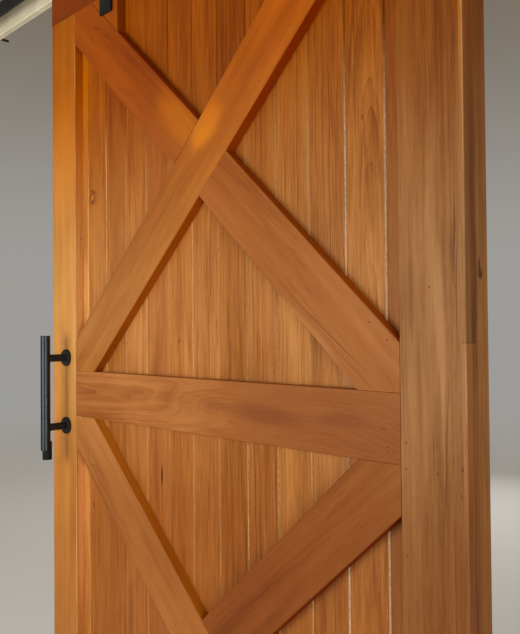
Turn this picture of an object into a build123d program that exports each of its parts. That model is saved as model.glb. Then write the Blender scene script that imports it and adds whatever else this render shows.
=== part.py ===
from build123d import *
import os
from math import atan2, ceil, cos, sin, tan

# A sliding barn door: a framed leaf of tongue and groove boards with crossed braces,
# hung by two straps and grooved wheels on a flat track in front of its header board.
#
# Millimetres. The origin is on the floor, in the middle of the floor guide's base.
# +X runs along the wall to the side where the open door stands, +Y runs into the wall
# and +Z is up, so the room side of the door faces -Y. The door is modelled fully open.

# Door leaf
leaf_width = 1150
leaf_height = 2090
floor_gap = 10
half_thickness = 34  # the leaf is a front frame and a back frame glued face to face
stile_width = 110
rail_width = 110
arris = 1.2  # small bevel along the edges that show

# Tongue and groove boards
board_thickness = 24
board_cover = 79
boards_shift = -6  # how far the row of boards sits off the middle of the leaf
board_bevel = 2.5
board_end_play = 2
groove_depth = 12
tongue_length = 8
tongue_thickness = 7
tongue_side_play = 0.2
tongue_end_play = 1

# Frame joints
tenon_length = 45
tenon_width = 60
tenon_thickness = 10
tenon_setback = 7  # from the face of the frame to the tenon
tenon_side_play = 0.2
tenon_end_play = 1
stub_tenon_length = 25
stub_tenon_height = 70

# Crossed braces and the packing blocks behind the strap ends
brace_width = 110
packer_margin = 18

# Lipping on the closing edge of the front frame, in two lengths
lipping_thickness = 6
lipping_joint_height = 1186
lipping_joint_gap = 0.6

# Pull handle
handle_inset = 67  # from the leaf's edge to the handle
handle_height = 1057
handle_length = 278
handle_spacing = 168
handle_standoff = 58
bar_radius = 11.5
bar_edge = 0.8
post_radius = 9
rose_radius = 20.5
rose_thickness = 7
rose_edge = 2
rose_play = 0.1
foot_radius = 11.2
foot_drop = 22  # how far the foot hangs below the bar
foot_rise = 21  # how far it reaches up behind the bar
foot_offset = 4  # how far its middle lies behind the bar's
handle_bolt_radius = 2.95
handle_bolt_reach = 16
handle_bolt_head_radius = 7
handle_bolt_head_height = 4
handle_bolt_hole_radius = 3.3
post_hole_radius = 3
post_hole_depth = 18

# Hangers
hanger_inset = 253  # from the leaf's side to the middle of the strap
strap_width = 46
strap_thickness = 6
strap_reach = 46  # how far the strap hangs below the top rail
strap_bolt_margin = 25  # from the rail's lower edge to the lower bolt
strap_bolt_pitch = 55
strap_bolt_radius = 4
strap_bolt_hole_radius = 4.2
strap_bolt_head_radius = 9
strap_bolt_head_height = 5
strap_bolt_socket = 2.5
strap_nut_flange_radius = 9
strap_nut_flange_height = 1.5
strap_nut_flats = 13
strap_nut_height = 8

# Wheels
wheel_radius = 44
wheel_width = 24
wheel_gap = 2  # between the strap and the wheel
tread_depth = 8
tread_width = 9.2
flange_edge_width = 5.5
wheel_web_inner = 19
wheel_web_outer = 32
wheel_web_depth = 3
wheel_edge = 1
wheel_running_gap = 0.3
bearing_radius = 14
bearing_width = 16
bearing_play = 0.05
bearing_shield_inner = 8.5
bearing_shield_outer = 12
bearing_shield_depth = 0.8
axle_radius = 6
axle_play = 0.05
axle_hole_radius = 6.2
axle_spacer_radius = 9
axle_spacer_play = 0.2
axle_head_flats = 18
axle_head_height = 7.5
axle_nut_height = 10
axle_nut_seat = 2  # how far the spacer stands out behind the wheel
axle_tail = 1.5

# Track, header board and wall fixings
track_gap = 28  # from the leaf's top to the track
track_height = 40
track_thickness = 8
track_corner = 3
track_end_margin = 192
track_bolt_count = 5
track_bolt_inset = 50
track_bolt_radius = 4
track_bolt_hole_radius = 4.3
track_bolt_head_radius = 9
track_bolt_head_height = 5
track_bolt_socket = 2.5
wall_bolt_reach = 60  # how far each bolt's threaded end goes into the wall
wall_thread_radius = 3.7
spacer_radius = 12
header_gap = 14  # from the leaf's top to the header board
header_height = 96
header_thickness = 18
header_edge = 2
wall_gap = 7  # from the back of the leaf to the wall

# End stops
stop_gap = 0.3
stop_length = 30
stop_width = 24
stop_edge = 2
stop_leg = 22  # how far the legs reach down over the track
stop_rise = 54
stop_slot_play = 0.1
stop_screw_radius = 3
stop_screw_play = 0.1
stop_screw_head_radius = 5
stop_screw_head_height = 4
stop_screw_pitch = 16
bumper_radius = 13
bumper_length = 12
bumper_edge = 3
bumper_stem_radius = 4
bumper_stem_length = 10
bumper_stem_play = 0.1

# Blocks on top of the leaf that keep it from jumping off the track
jump_block_radius = 12.5
jump_block_height = 22
jump_block_edge = 1
jump_block_offset = 70
jump_screw_radius = 2.5
jump_screw_length = 45
jump_screw_play = 0.1
jump_screw_head_radius = 5
jump_screw_head_height = 3

# Floor guide
guide_margin = 25  # from the guide to the leaf's edge when the door is fully open or shut
guide_slot_width = 8
guide_slot_depth = 18
guide_play = 0.3
guide_fin_length = 40
guide_fin_top_gap = 4
guide_base_length = 90
guide_base_width = 44
guide_base_thickness = 5
guide_corner = 8
guide_hole_spacing = 66
guide_hole_radius = 2.5
guide_countersink_radius = 5

# Sizes that follow from the ones above
leaf_x = leaf_width / 2 - guide_margin
leaf_bottom = floor_gap
leaf_top = leaf_bottom + leaf_height
side_reach = leaf_width / 2
opening_half = side_reach - stile_width
lipped_reach = side_reach - lipping_thickness
bottom_panel_floor = leaf_bottom + rail_width
top_panel_roof = leaf_top - rail_width
panel_height = (top_panel_roof - bottom_panel_floor - rail_width) / 2
mid_rail_bottom = bottom_panel_floor + panel_height
mid_rail_top = mid_rail_bottom + rail_width
board_face = board_thickness / 2
brace_thickness = half_thickness - board_face
tenon_depth = half_thickness - tenon_setback - tenon_thickness / 2
brace_angle = atan2(panel_height, 2 * opening_half)
brace_run = brace_width / 2 / sin(brace_angle)
brace_rise = brace_width / 2 / cos(brace_angle)
hanger_reach = side_reach - hanger_inset
packer_end = hanger_reach - strap_width / 2 - packer_margin
strap_bolt_heights = [
    top_panel_roof + strap_bolt_margin,
    top_panel_roof + strap_bolt_margin + strap_bolt_pitch,
]
hanger_xs = {"left": leaf_x - hanger_reach, "right": leaf_x + hanger_reach}
travel = 2 * leaf_x
strap_back = -half_thickness
strap_front = strap_back - strap_thickness
wheel_y = strap_back + wheel_gap + wheel_width / 2
wheel_back = wheel_y + wheel_width / 2
tread_radius = wheel_radius - tread_depth
track_bottom = leaf_top + track_gap
track_top = track_bottom + track_height
track_middle = track_bottom + track_height / 2
track_front = wheel_y - track_thickness / 2
track_back = wheel_y + track_thickness / 2
axle_height = track_top + tread_radius + wheel_running_gap
wall_face = half_thickness + wall_gap
header_front = wall_face - header_thickness
header_bottom = leaf_top + header_gap
stop_face = hanger_xs["right"] + wheel_radius + stop_gap + bumper_length
track_centre = leaf_x - travel / 2
track_half = stop_face - track_centre + stop_length + track_end_margin
track_bolt_reach = track_half - track_bolt_inset
track_bolt_step = 2 * track_bolt_reach / (track_bolt_count - 1)
track_bolt_xs = [track_centre - track_bolt_reach + n * track_bolt_step for n in range(track_bolt_count)]
handle_x = leaf_x - side_reach + handle_inset
handle_y = -half_thickness - handle_standoff
handle_bottom = handle_height - handle_length / 2
post_heights = {
    "lower": handle_height - handle_spacing / 2,
    "upper": handle_height + handle_spacing / 2,
}
sides = {"left": -1, "right": 1}
faces = {"front": -1, "back": 1}

os.makedirs("parts", exist_ok=True)


def save(piece, name):
    """Label a finished piece and write its STEP file."""
    piece.part.label = name
    export_step(piece.part, f"parts/{name}.step")


def facing(y):
    """The upright plane at y that faces the room, with +X right and +Z up."""
    return Plane.XZ.offset(-y)


def prism(points, plane, length, mode=Mode.ADD):
    """Extrude a closed outline from its plane."""
    with BuildSketch(plane) as outline:
        with BuildLine():
            Polyline(*points, close=True)
        make_face()
    extrude(outline.sketch, amount=length, mode=mode)


def rod(x, z, radius, front, back, mode=Mode.ADD):
    """A round bar or hole along Y, from front to back."""
    with BuildSketch(facing(back)) as circle:
        with Locations((x, z)):
            Circle(radius)
    extrude(circle.sketch, amount=back - front, mode=mode)


def hexagon(x, z, flats, front, back, mode=Mode.ADD):
    """A hexagonal bar or socket along Y, flats wide, from front to back."""
    with BuildSketch(facing(back)) as outline:
        with Locations((x, z)):
            RegularPolygon(flats / 2, 6, major_radius=False)
    extrude(outline.sketch, amount=back - front, mode=mode)


def turned(points, x, z, mode=Mode.ADD):
    """Revolve an outline of (radius, y) points about the line along Y through x and z."""
    with BuildSketch(Plane((x, 0, z))) as outline:
        with BuildLine():
            Polyline(*points, close=True)
        make_face()
    revolve(outline.sketch, axis=Axis((x, 0, z), (0, 1, 0)), mode=mode)


def leaf_points(points, side, face):
    """Turn (distance from the middle, distance from mid-thickness) into X and Y."""
    return [(leaf_x + side * u, face * v) for u, v in points]


def stile_outline(side, face, reach, bevelled):
    """Section of half a stile, with the rebate for the boards and its bevelled edges."""
    edge = arris if bevelled else 0
    points = [
        (opening_half, board_face),
        (opening_half, half_thickness - arris),
        (opening_half + arris, half_thickness),
        (reach - edge, half_thickness),
        (reach, half_thickness - edge),
        (reach, 0),
        (opening_half + groove_depth, 0),
        (opening_half + groove_depth, board_face),
    ]
    return leaf_points(points if bevelled else points[:3] + points[4:], side, face)


def stile_tenon(side, face, shoulder, length, play=0, mode=Mode.ADD):
    """The tenon on a stile's end, or with play the mortise that takes it."""
    centre = (opening_half + side_reach) / 2
    with BuildSketch(Plane.XY.offset(shoulder)) as section:
        with Locations((leaf_x + side * centre, face * tenon_depth)):
            Rectangle(tenon_width + 2 * play, tenon_thickness + 2 * play)
    extrude(section.sketch, amount=length, mode=mode)


def stub_tenon(side, face, length, play=0, mode=Mode.ADD):
    """The stub tenon on a middle rail's end, or with play its mortise."""
    height = mid_rail_bottom + rail_width / 2
    with BuildSketch(Plane.YZ.offset(leaf_x + side * opening_half)) as section:
        with Locations((face * tenon_depth, height)):
            Rectangle(tenon_thickness + 2 * play, stub_tenon_height + 2 * play)
    extrude(section.sketch, amount=side * length, mode=mode)


def handle_holes():
    """The handle bolts' holes through the left stile."""
    for height in post_heights.values():
        rod(handle_x, height, handle_bolt_hole_radius, -half_thickness, half_thickness, Mode.SUBTRACT)


def strap_holes():
    """The strap bolts' holes through the top rail."""
    for hanger_x in hanger_xs.values():
        for height in strap_bolt_heights:
            rod(hanger_x, height, strap_bolt_hole_radius, -half_thickness, half_thickness, Mode.SUBTRACT)


# Stiles, each a front half and a back half
for side_name, side in sides.items():
    for face_name, face in faces.items():
        lipped = side_name == "right" and face_name == "front"
        reach = lipped_reach if lipped else side_reach
        with BuildPart() as stile:
            prism(
                stile_outline(side, face, reach, not lipped),
                Plane.XY.offset(bottom_panel_floor),
                top_panel_roof - bottom_panel_floor,
            )
            stile_tenon(side, face, top_panel_roof, tenon_length)
            stile_tenon(side, face, bottom_panel_floor, -tenon_length)
            stub_tenon(
                side, face, stub_tenon_length + tenon_end_play, tenon_side_play, Mode.SUBTRACT
            )
            if side_name == "left":
                handle_holes()
        save(stile, f"stile_{face_name}_{side_name}")


def rail_ends(face):
    """Where a full-width rail starts and ends; the lipping takes its place on the front."""
    return leaf_x - side_reach, leaf_x + (lipped_reach if face < 0 else side_reach)


def board_rebate(face, low, high):
    """Cut the stopped rebate that takes the ends of the boards."""
    reach = opening_half + groove_depth
    corners = [(0, low), (face * board_face, low), (face * board_face, high), (0, high)]
    prism(corners, Plane.YZ.offset(leaf_x - reach), 2 * reach, Mode.SUBTRACT)


# Top and bottom rails, over the ends of the stiles
for face_name, face in faces.items():
    left_end, right_end = rail_ends(face)
    deep = face * half_thickness
    shallow = face * (half_thickness - arris)

    with BuildPart() as top_rail:
        section = [
            (0, top_panel_roof),
            (shallow, top_panel_roof),
            (deep, top_panel_roof + arris),
            (deep, leaf_top - arris),
            (shallow, leaf_top),
            (0, leaf_top),
        ]
        prism(section, Plane.YZ.offset(left_end), right_end - left_end)
        board_rebate(face, top_panel_roof, top_panel_roof + groove_depth)
        for side in sides.values():
            stile_tenon(
                side, face, top_panel_roof, tenon_length + tenon_end_play, tenon_side_play, Mode.SUBTRACT
            )
        strap_holes()
        if face_name == "front":
            for side_name, side in sides.items():
                block_x = hanger_xs[side_name] + side * jump_block_offset
                with BuildSketch(Plane.XY.offset(leaf_top)) as screw_hole:
                    with Locations((block_x, wheel_y)):
                        Circle(jump_screw_radius + jump_screw_play)
                extrude(screw_hole.sketch, amount=-jump_screw_length, mode=Mode.SUBTRACT)
    save(top_rail, f"top_rail_{face_name}")

    with BuildPart() as bottom_rail:
        slot_side = face * guide_slot_width / 2
        section = [
            (slot_side, leaf_bottom),
            (shallow, leaf_bottom),
            (deep, leaf_bottom + arris),
            (deep, bottom_panel_floor - arris),
            (shallow, bottom_panel_floor),
            (0, bottom_panel_floor),
            (0, leaf_bottom + guide_slot_depth),
            (slot_side, leaf_bottom + guide_slot_depth),
        ]
        prism(section, Plane.YZ.offset(left_end), right_end - left_end)
        board_rebate(face, bottom_panel_floor - groove_depth, bottom_panel_floor)
        for side in sides.values():
            stile_tenon(
                side, face, bottom_panel_floor, -tenon_length - tenon_end_play, tenon_side_play,
                Mode.SUBTRACT,
            )
    save(bottom_rail, f"bottom_rail_{face_name}")

# Middle rails, between the stiles and laid over the boards
for face_name, face in faces.items():
    deep = face * half_thickness
    shallow = face * (half_thickness - arris)
    with BuildPart() as mid_rail:
        section = [
            (face * board_face, mid_rail_bottom),
            (shallow, mid_rail_bottom),
            (deep, mid_rail_bottom + arris),
            (deep, mid_rail_top - arris),
            (shallow, mid_rail_top),
            (face * board_face, mid_rail_top),
        ]
        prism(section, Plane.YZ.offset(leaf_x - opening_half), 2 * opening_half)
        for side in sides.values():
            stub_tenon(side, face, stub_tenon_length)
    save(mid_rail, f"mid_rail_{face_name}")


def board_left_edge(left, outer):
    """The left edge of a board, from the back to the front: a groove, or plain if outer."""
    if outer:
        return [(left, board_face), (left, -board_face)]
    slot = tongue_thickness / 2 + tongue_side_play
    slot_end = left + tongue_length + tongue_end_play
    return [
        (left + board_bevel, board_face),
        (left, board_face - board_bevel),
        (left, slot),
        (slot_end, slot),
        (slot_end, -slot),
        (left, -slot),
        (left, -board_face + board_bevel),
        (left + board_bevel, -board_face),
    ]


def board_right_edge(right, outer):
    """The right edge of a board, from the front to the back: a tongue, or plain if outer."""
    if outer:
        return [(right, -board_face), (right, board_face)]
    tongue = tongue_thickness / 2
    return [
        (right - board_bevel, -board_face),
        (right, -board_face + board_bevel),
        (right, -tongue),
        (right + tongue_length, -tongue),
        (right + tongue_length, tongue),
        (right, tongue),
        (right, board_face - board_bevel),
        (right - board_bevel, board_face),
    ]


# Boards, set out from near the middle; the two at the sides are ripped to fit the stiles
boards_half = opening_half + groove_depth - board_end_play
board_count = ceil(2 * boards_half / board_cover)
boards_start = leaf_x + boards_shift - board_count * board_cover / 2
board_bottom = bottom_panel_floor - groove_depth
board_top = top_panel_roof + groove_depth - board_end_play
for index in range(board_count):
    is_first = index == 0
    is_last = index == board_count - 1
    left = leaf_x - boards_half if is_first else boards_start + index * board_cover
    right = leaf_x + boards_half if is_last else boards_start + (index + 1) * board_cover
    with BuildPart() as board:
        prism(
            board_left_edge(left, is_first) + board_right_edge(right, is_last),
            Plane.XY.offset(board_bottom),
            board_top - board_bottom,
        )
    save(board, f"board_{index + 1:02d}")


def brace_outline(floor, rising):
    """A band across a panel from corner to corner, cut to fit into both corners."""
    slope = 1 if rising else -1
    roof = floor + panel_height
    points = [
        (-opening_half, floor),
        (-opening_half + brace_run, floor),
        (opening_half, roof - brace_rise),
        (opening_half, roof),
        (opening_half - brace_run, roof),
        (-opening_half, floor + brace_rise),
    ]
    return [(leaf_x + slope * u, z) for u, z in points]


# Braces, halved over each other where they cross; the one in front runs unbroken
front_brace = {"upper": "rising", "lower": "falling"}
panel_floors = {"lower": bottom_panel_floor, "upper": mid_rail_top}
for panel, floor in panel_floors.items():
    for direction in ("rising", "falling"):
        is_rising = direction == "rising"
        over = front_brace[panel] == direction
        notch_back = -board_face if over else -board_face - brace_thickness / 2
        with BuildPart() as brace:
            prism(brace_outline(floor, is_rising), facing(-board_face), brace_thickness)
            chamfer(brace.edges().group_by(Axis.Y)[0].sort_by(SortBy.LENGTH)[-2:], arris)
            prism(
                brace_outline(floor, not is_rising), facing(notch_back), brace_thickness / 2,
                Mode.SUBTRACT,
            )
        save(brace, f"brace_{panel}_{direction}")

# Packing blocks that fill the corner under the top rail and carry the strap ends
for side_name, side in sides.items():
    tip = opening_half - brace_run
    drop = (tip - packer_end) * tan(brace_angle)
    corners = [(tip, 0), (packer_end, 0), (packer_end, -drop)]
    with BuildPart() as packer:
        prism(
            [(leaf_x + side * u, top_panel_roof + z) for u, z in corners],
            facing(-board_face),
            brace_thickness,
        )
        inner_edges = packer.edges().filter_by(Axis.Z).group_by(Axis.Y)[0]
        chamfer(inner_edges, arris)
    save(packer, f"packer_{side_name}")

# Lipping on the right edge of the front frame
lipping_joints = {
    "lower": (leaf_bottom, lipping_joint_height - lipping_joint_gap / 2),
    "upper": (lipping_joint_height + lipping_joint_gap / 2, leaf_top),
}
for length_name, (low, high) in lipping_joints.items():
    section = [
        (lipped_reach, 0),
        (lipped_reach, half_thickness),
        (side_reach - arris, half_thickness),
        (side_reach, half_thickness - arris),
        (side_reach, 0),
    ]
    with BuildPart() as lipping:
        prism(leaf_points(section, 1, -1), Plane.XY.offset(low), high - low)
        slot = [(lipped_reach, 0), (lipped_reach, guide_slot_width / 2),
                (side_reach, guide_slot_width / 2), (side_reach, 0)]
        prism(leaf_points(slot, 1, -1), Plane.XY.offset(leaf_bottom), guide_slot_depth, Mode.SUBTRACT)
    save(lipping, f"edge_lipping_{length_name}")

# Handle bar, with the foot that is clipped behind its lower end
with BuildPart() as handle_bar:
    with BuildSketch(Plane.XY.offset(handle_bottom)):
        with Locations((handle_x, handle_y)):
            Circle(bar_radius)
    extrude(amount=handle_length)
    chamfer(handle_bar.edges().filter_by(GeomType.CIRCLE), bar_edge)
save(handle_bar, "handle_bar")

with BuildPart() as handle_foot:
    with BuildSketch(Plane.XY.offset(handle_bottom - foot_drop)):
        with Locations((handle_x, handle_y + foot_offset)):
            Circle(foot_radius)
    extrude(amount=foot_drop + foot_rise)
    with BuildSketch(Plane.XY.offset(handle_bottom)):
        with Locations((handle_x, handle_y)):
            Circle(bar_radius)
    extrude(amount=handle_length, mode=Mode.SUBTRACT)
save(handle_foot, "handle_foot")

# Handle posts, saddled onto the bar and drilled for the bolts from the back
for post_name, height in post_heights.items():
    with BuildPart() as post:
        rod(handle_x, height, post_radius, handle_y, -half_thickness)
        with BuildSketch(Plane.XY.offset(handle_bottom)):
            with Locations((handle_x, handle_y)):
                Circle(bar_radius)
        extrude(amount=handle_length, mode=Mode.SUBTRACT)
        rod(
            handle_x, height, post_hole_radius, -half_thickness - post_hole_depth, -half_thickness,
            Mode.SUBTRACT,
        )
    save(post, f"handle_post_{post_name}")

# Round roses around the posts
with BuildPart() as handle_roses:
    for height in post_heights.values():
        front = -half_thickness - rose_thickness
        outline = [
            (post_radius + rose_play, -half_thickness),
            (rose_radius, -half_thickness),
            (rose_radius, front + rose_edge),
            (rose_radius - rose_edge, front),
            (post_radius + rose_play, front),
        ]
        turned(outline, handle_x, height)
save(handle_roses, "handle_roses")

with BuildPart() as handle_bolts:
    for height in post_heights.values():
        tip = -half_thickness - handle_bolt_reach
        rod(handle_x, height, handle_bolt_radius, tip, half_thickness)
        rod(
            handle_x, height, handle_bolt_head_radius, half_thickness,
            half_thickness + handle_bolt_head_height,
        )
save(handle_bolts, "handle_bolts")

# Hanger straps, flat on the face of the leaf and rounded over the axle
strap_bottom = top_panel_roof - strap_reach
for side_name, hanger_x in hanger_xs.items():
    with BuildPart() as strap:
        with BuildSketch(facing(strap_back)):
            with Locations((hanger_x, (strap_bottom + axle_height) / 2)):
                Rectangle(strap_width, axle_height - strap_bottom)
            with Locations((hanger_x, axle_height)):
                Circle(strap_width / 2)
            with Locations((hanger_x, axle_height)):
                Circle(axle_hole_radius, mode=Mode.SUBTRACT)
            with Locations([(hanger_x, height) for height in strap_bolt_heights]):
                Circle(strap_bolt_hole_radius, mode=Mode.SUBTRACT)
        extrude(amount=strap_thickness)
        chamfer(strap.faces().sort_by(Axis.Y)[0].outer_wire().edges(), arris)
    save(strap, f"hanger_strap_{side_name}")

with BuildPart() as strap_bolts:
    for hanger_x in hanger_xs.values():
        for height in strap_bolt_heights:
            head_front = strap_front - strap_bolt_head_height
            tail = half_thickness + strap_nut_flange_height + strap_nut_height
            rod(hanger_x, height, strap_bolt_radius, strap_front, tail)
            rod(hanger_x, height, strap_bolt_head_radius, head_front, strap_front)
            hexagon(
                hanger_x, height, 2 * strap_bolt_socket, head_front, head_front + strap_bolt_socket,
                Mode.SUBTRACT,
            )
save(strap_bolts, "strap_bolts")

with BuildPart() as strap_nuts:
    for hanger_x in hanger_xs.values():
        for height in strap_bolt_heights:
            seat = half_thickness + strap_nut_flange_height
            rod(hanger_x, height, strap_nut_flange_radius, half_thickness, seat)
            hexagon(hanger_x, height, strap_nut_flats, seat, seat + strap_nut_height)
            rod(
                hanger_x, height, strap_bolt_hole_radius, half_thickness, seat + strap_nut_height,
                Mode.SUBTRACT,
            )
save(strap_nuts, "strap_nuts")

# Grooved wheels on ball bearings
for side_name, hanger_x in hanger_xs.items():
    half = wheel_width / 2
    web = half - wheel_web_depth
    outline = [
        (bearing_radius + bearing_play, half),
        (wheel_web_inner, half),
        (wheel_web_inner, web),
        (wheel_web_outer, web),
        (wheel_web_outer, half),
        (wheel_radius - wheel_edge, half),
        (wheel_radius, half - wheel_edge),
        (wheel_radius, half - flange_edge_width),
        (tread_radius, tread_width / 2),
    ]
    outline += [(radius, -y) for radius, y in reversed(outline)]
    with BuildPart() as wheel:
        turned([(radius, wheel_y + y) for radius, y in outline], hanger_x, axle_height)
    save(wheel, f"wheel_{side_name}")

    half = bearing_width / 2
    dish = half - bearing_shield_depth
    outline = [
        (axle_radius + axle_play, half),
        (bearing_shield_inner, half),
        (bearing_shield_inner, dish),
        (bearing_shield_outer, dish),
        (bearing_shield_outer, half),
        (bearing_radius, half),
    ]
    outline += [(radius, -y) for radius, y in reversed(outline)]
    with BuildPart() as bearing:
        turned([(radius, wheel_y + y) for radius, y in outline], hanger_x, axle_height)
    save(bearing, f"wheel_bearing_{side_name}")

axle_nut_front = wheel_back + axle_nut_seat
axle_nut_back = axle_nut_front + axle_nut_height
spacer_spans = [
    (strap_back, wheel_y - bearing_width / 2 - axle_spacer_play),
    (wheel_y + bearing_width / 2 + axle_spacer_play, axle_nut_front),
]
with BuildPart() as axle_bolts:
    for hanger_x in hanger_xs.values():
        rod(hanger_x, axle_height, axle_radius, strap_front, axle_nut_back + axle_tail)
        hexagon(hanger_x, axle_height, axle_head_flats, strap_front - axle_head_height, strap_front)
save(axle_bolts, "axle_bolts")

with BuildPart() as axle_spacers:
    for hanger_x in hanger_xs.values():
        for front, back in spacer_spans:
            rod(hanger_x, axle_height, axle_spacer_radius, front, back)
            rod(hanger_x, axle_height, axle_hole_radius, front, back, Mode.SUBTRACT)
save(axle_spacers, "axle_spacers")

with BuildPart() as axle_nuts:
    for hanger_x in hanger_xs.values():
        hexagon(hanger_x, axle_height, axle_head_flats, axle_nut_front, axle_nut_back)
        rod(hanger_x, axle_height, axle_hole_radius, axle_nut_front, axle_nut_back, Mode.SUBTRACT)
save(axle_nuts, "axle_nuts")

# Blocks on top of the leaf, under the track, and their countersunk screws
block_xs = {name: hanger_xs[name] + side * jump_block_offset for name, side in sides.items()}
block_top = leaf_top + jump_block_height
for side_name, block_x in block_xs.items():
    with BuildPart() as jump_block:
        with BuildSketch(Plane.XY.offset(leaf_top)):
            with Locations((block_x, wheel_y)):
                Circle(jump_block_radius)
        extrude(amount=jump_block_height)
        chamfer(jump_block.edges().group_by(Axis.Z)[-1], jump_block_edge)
        with BuildSketch(Plane.XY.offset(leaf_top)):
            with Locations((block_x, wheel_y)):
                Circle(jump_screw_radius + jump_screw_play)
        extrude(amount=jump_block_height, mode=Mode.SUBTRACT)
        with BuildSketch(Plane.XY.offset(block_top - jump_screw_head_height)):
            with Locations((block_x, wheel_y)):
                Circle(jump_screw_head_radius + jump_screw_play)
        extrude(amount=jump_screw_head_height, mode=Mode.SUBTRACT)
    save(jump_block, f"jump_block_{side_name}")

with BuildPart() as jump_screws:
    with BuildSketch(Plane.XY.offset(block_top - jump_screw_length)):
        with Locations([(block_x, wheel_y) for block_x in block_xs.values()]):
            Circle(jump_screw_radius)
    extrude(amount=jump_screw_length)
    with BuildSketch(Plane.XY.offset(block_top - jump_screw_head_height)):
        with Locations([(block_x, wheel_y) for block_x in block_xs.values()]):
            Circle(jump_screw_head_radius)
    extrude(amount=jump_screw_head_height)
save(jump_screws, "jump_screws")


def bolt_row_holes(front, back):
    """The wall bolts' holes through a piece of the track assembly."""
    for bolt_x in track_bolt_xs:
        rod(bolt_x, track_middle, track_bolt_hole_radius, front, back, Mode.SUBTRACT)


# Track, spacers and header board, bolted through to the wall
with BuildPart() as track:
    with BuildSketch(facing(track_back)) as bar_face:
        with Locations((track_centre, track_middle)):
            Rectangle(2 * track_half, track_height)
        fillet(bar_face.vertices(), track_corner)
    extrude(amount=track_thickness)
    bolt_row_holes(track_front, track_back)
save(track, "track")

with BuildPart() as track_spacers:
    for bolt_x in track_bolt_xs:
        rod(bolt_x, track_middle, spacer_radius, track_back, header_front)
    bolt_row_holes(track_back, header_front)
save(track_spacers, "track_spacers")

with BuildPart() as header_board:
    header_top = header_bottom + header_height
    eased = header_front + header_edge
    section = [
        (wall_face, header_bottom),
        (eased, header_bottom),
        (header_front, header_bottom + header_edge),
        (header_front, header_top - header_edge),
        (eased, header_top),
        (wall_face, header_top),
    ]
    prism(section, Plane.YZ.offset(track_centre - track_half), 2 * track_half)
    bolt_row_holes(header_front, wall_face)
save(header_board, "header_board")

with BuildPart() as wall_bolts:
    for bolt_x in track_bolt_xs:
        head_front = track_front - track_bolt_head_height
        rod(bolt_x, track_middle, track_bolt_radius, track_front, wall_face)
        rod(bolt_x, track_middle, wall_thread_radius, wall_face, wall_face + wall_bolt_reach)
        rod(bolt_x, track_middle, track_bolt_head_radius, head_front, track_front)
        hexagon(
            bolt_x, track_middle, 2 * track_bolt_socket, head_front, head_front + track_bolt_socket,
            Mode.SUBTRACT,
        )
save(wall_bolts, "wall_bolts")

# End stops, saddled over the track where the door is fully open and fully shut
stop_xs = {"left": 2 * track_centre - stop_face, "right": stop_face}
leg_bottom = track_top - stop_leg
stop_front = wheel_y - stop_width / 2
screw_height = (leg_bottom + track_top) / 2
for side_name, side in sides.items():
    with BuildPart() as end_stop:
        with BuildSketch(Plane.YZ.offset(stop_xs[side_name])) as saddle:
            with Locations((wheel_y, (leg_bottom + track_top + stop_rise) / 2)):
                Rectangle(stop_width, stop_leg + stop_rise)
            chamfer(saddle.vertices(), stop_edge)
            with Locations((wheel_y, leg_bottom + stop_leg / 2)):
                Rectangle(track_thickness + 2 * stop_slot_play, stop_leg, mode=Mode.SUBTRACT)
        extrude(amount=side * stop_length)
        with BuildSketch(Plane.YZ.offset(stop_xs[side_name])):
            with Locations((wheel_y, axle_height)):
                Circle(bumper_stem_radius + bumper_stem_play)
        extrude(amount=side * bumper_stem_length, mode=Mode.SUBTRACT)
        for step in (-1, 1):
            screw_x = stop_xs[side_name] + side * stop_length / 2 + step * stop_screw_pitch / 2
            rod(
                screw_x, screw_height, stop_screw_radius + stop_screw_play, stop_front, track_front,
                Mode.SUBTRACT,
            )
    save(end_stop, f"end_stop_{side_name}")

with BuildPart() as stop_screws:
    for side_name, side in sides.items():
        for step in (-1, 1):
            screw_x = stop_xs[side_name] + side * stop_length / 2 + step * stop_screw_pitch / 2
            head_front = stop_front - stop_screw_head_height
            rod(screw_x, screw_height, stop_screw_radius, stop_front, track_front)
            rod(screw_x, screw_height, stop_screw_head_radius, head_front, stop_front)
save(stop_screws, "stop_screws")

with BuildPart() as stop_bumpers:
    for side_name, side in sides.items():
        with BuildSketch(Plane((stop_xs[side_name], wheel_y, axle_height))):
            with BuildLine():
                Polyline(
                    (side * bumper_stem_length, 0),
                    (side * bumper_stem_length, bumper_stem_radius),
                    (0, bumper_stem_radius),
                    (0, bumper_radius),
                    (side * (bumper_edge - bumper_length), bumper_radius),
                    (-side * bumper_length, bumper_radius - bumper_edge),
                    (-side * bumper_length, 0),
                    close=True,
                )
            make_face()
        revolve(axis=Axis((0, wheel_y, axle_height), (1, 0, 0)))
save(stop_bumpers, "stop_bumpers")

# Floor guide, a fin that runs in the slot under the leaf
with BuildPart() as floor_guide:
    with BuildSketch() as base:
        Rectangle(guide_base_length, guide_base_width)
        fillet(base.vertices(), guide_corner)
    extrude(amount=guide_base_thickness)
    fin_top = leaf_bottom + guide_slot_depth - guide_fin_top_gap
    fin_width = guide_slot_width - 2 * guide_play
    with BuildSketch():
        SlotOverall(guide_fin_length, fin_width)
    extrude(amount=fin_top)
    with Locations([(side * guide_hole_spacing / 2, 0, guide_base_thickness) for side in (-1, 1)]):
        CounterSinkHole(guide_hole_radius, guide_countersink_radius, guide_base_thickness)
save(floor_guide, "floor_guide")
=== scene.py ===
import math

import bpy
import numpy as np
from bpy.props import FloatProperty, FloatVectorProperty, IntProperty, PointerProperty
from mathutils import Matrix, Vector


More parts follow.
